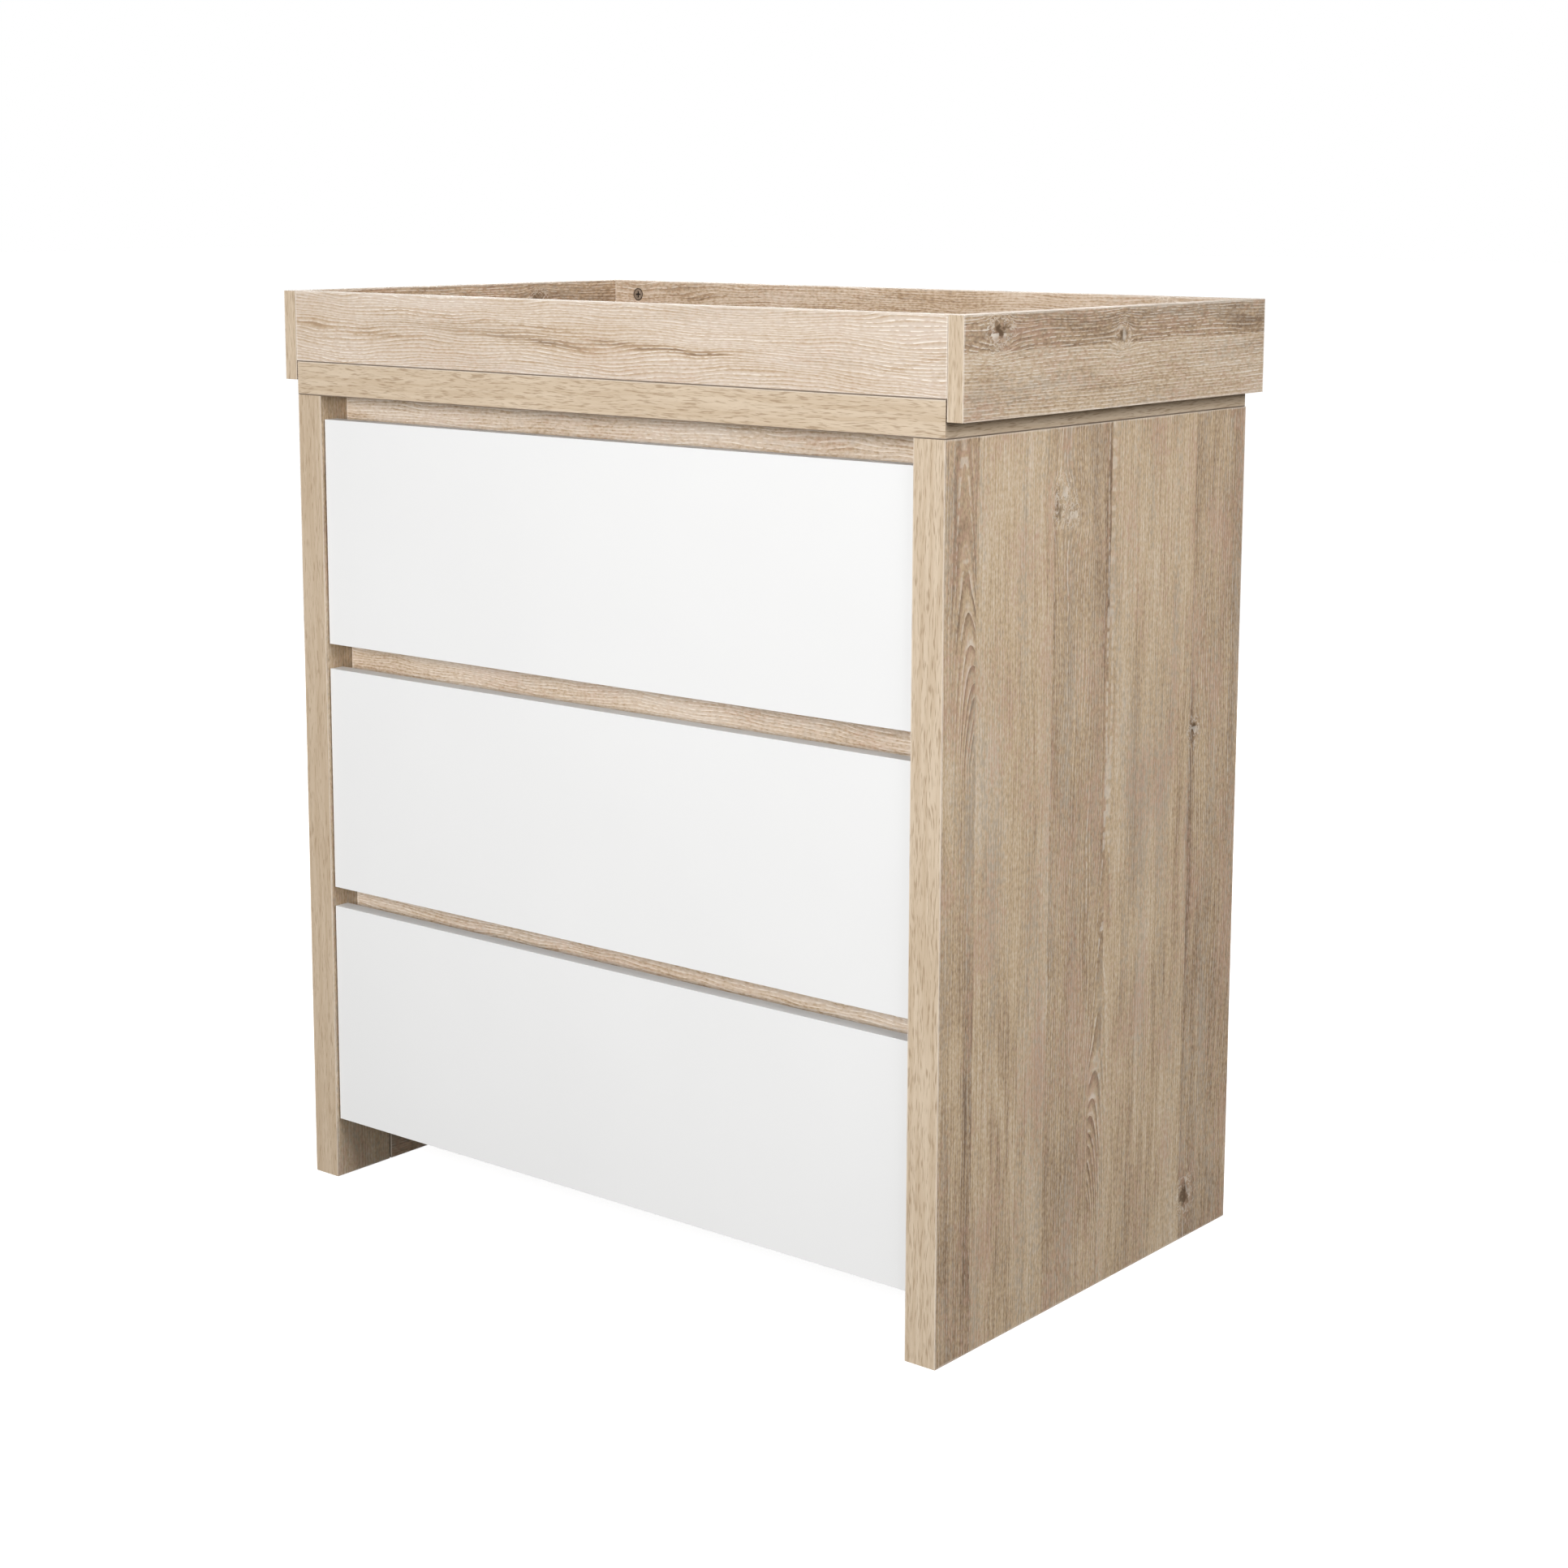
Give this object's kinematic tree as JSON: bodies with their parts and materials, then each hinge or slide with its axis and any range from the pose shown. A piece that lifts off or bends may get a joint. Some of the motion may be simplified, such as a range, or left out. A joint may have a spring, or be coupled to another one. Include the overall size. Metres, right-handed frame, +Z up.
{
  "type": "changing table",
  "caption": "Chest of drawers in pale oak-effect board with white handleless fronts and a lift-off rectangular changing tray on top.",
  "frame": {"origin": "on the floor, under the centre of the bounding box", "axes": "+Z up, -Y towards the front that the drawers open to, +X to the right seen from the front"},
  "size_m": [0.919, 0.538, 1.005],
  "materials": {
    "oak_board": "pale limed oak grain foil, matte with fine pores",
    "white_front": "smooth matte white lacquer on board",
    "drawer_board": "white melamine board",
    "back_sheet": "brown hardboard, fibrous",
    "joining_strip": "white extruded plastic",
    "runner_steel": "zinc-plated rolled steel",
    "cast_zinc": "die-cast zinc, dull",
    "plated_steel": "bright zinc-plated steel"
  },
  "bodies": {
    "carcass": {"left_side_panel": "oak_board", "left_lining_panel": "oak_board", "right_side_panel": "oak_board", "right_lining_panel": "oak_board", "top_panel": "oak_board", "top_rail": "oak_board", "upper_rail": "oak_board", "lower_rail": "oak_board", "bottom_panel": "oak_board", "rear_plinth": "oak_board", "lower_back_panel": "back_sheet", "upper_back_panel": "back_sheet", "back_joining_strip": "joining_strip", "top_left_cabinet_runner": "runner_steel", "top_right_cabinet_runner": "runner_steel", "middle_left_cabinet_runner": "runner_steel", "middle_right_cabinet_runner": "runner_steel", "bottom_left_cabinet_runner": "runner_steel", "bottom_right_cabinet_runner": "runner_steel"},
    "top_drawer": {"top_drawer_front": "white_front", "top_drawer_left_side": "drawer_board", "top_drawer_right_side": "drawer_board", "top_drawer_back": "drawer_board", "top_drawer_bottom": "drawer_board", "top_left_drawer_runner": "runner_steel", "top_right_drawer_runner": "runner_steel"},
    "top_middle_runners": {"top_left_middle_runner": "runner_steel", "top_right_middle_runner": "runner_steel"},
    "middle_drawer": {"middle_drawer_front": "white_front", "middle_drawer_left_side": "drawer_board", "middle_drawer_right_side": "drawer_board", "middle_drawer_back": "drawer_board", "middle_drawer_bottom": "drawer_board", "middle_left_drawer_runner": "runner_steel", "middle_right_drawer_runner": "runner_steel"},
    "middle_middle_runners": {"middle_left_middle_runner": "runner_steel", "middle_right_middle_runner": "runner_steel"},
    "bottom_drawer": {"bottom_drawer_front": "white_front", "bottom_drawer_left_side": "drawer_board", "bottom_drawer_right_side": "drawer_board", "bottom_drawer_back": "drawer_board", "bottom_drawer_bottom": "drawer_board", "bottom_left_drawer_runner": "runner_steel", "bottom_right_drawer_runner": "runner_steel"},
    "bottom_middle_runners": {"bottom_left_middle_runner": "runner_steel", "bottom_right_middle_runner": "runner_steel"},
    "changing_tray": {"tray_front": "oak_board", "tray_back": "oak_board", "tray_left_side": "oak_board", "tray_right_side": "oak_board", "tray_front_left_cam": "cast_zinc", "tray_front_left_bolt": "plated_steel", "tray_front_right_cam": "cast_zinc", "tray_front_right_bolt": "plated_steel", "tray_back_left_cam": "cast_zinc", "tray_back_left_bolt": "plated_steel", "tray_back_right_cam": "cast_zinc", "tray_back_right_bolt": "plated_steel", "tray_left_fixing_plate": "plated_steel", "tray_right_fixing_plate": "plated_steel"}
  },
  "joints": [
    {"name": "top_drawer_slide", "type": "slide", "parent": "carcass", "child": "top_drawer", "axis": [0, -1, 0], "range_m": [0, 0.45]},
    {"name": "top_middle_runner_slide", "type": "slide", "parent": "carcass", "child": "top_middle_runners", "axis": [0, -1, 0], "range_m": [0, 0.225]},
    {"name": "middle_drawer_slide", "type": "slide", "parent": "carcass", "child": "middle_drawer", "axis": [0, -1, 0], "range_m": [0, 0.45]},
    {"name": "middle_middle_runner_slide", "type": "slide", "parent": "carcass", "child": "middle_middle_runners", "axis": [0, -1, 0], "range_m": [0, 0.225]},
    {"name": "bottom_drawer_slide", "type": "slide", "parent": "carcass", "child": "bottom_drawer", "axis": [0, -1, 0], "range_m": [0, 0.45]},
    {"name": "bottom_middle_runner_slide", "type": "slide", "parent": "carcass", "child": "bottom_middle_runners", "axis": [0, -1, 0], "range_m": [0, 0.225]},
    {"name": "tray_lift", "type": "slide", "parent": "carcass", "child": "changing_tray", "axis": [0, 0, 1], "range_m": [0, 0.12]}
  ],
  "couplings": [
    {"joint": "top_middle_runner_slide", "follows": "top_drawer_slide", "ratio": 0.5},
    {"joint": "middle_middle_runner_slide", "follows": "middle_drawer_slide", "ratio": 0.5},
    {"joint": "bottom_middle_runner_slide", "follows": "bottom_drawer_slide", "ratio": 0.5}
  ]
}
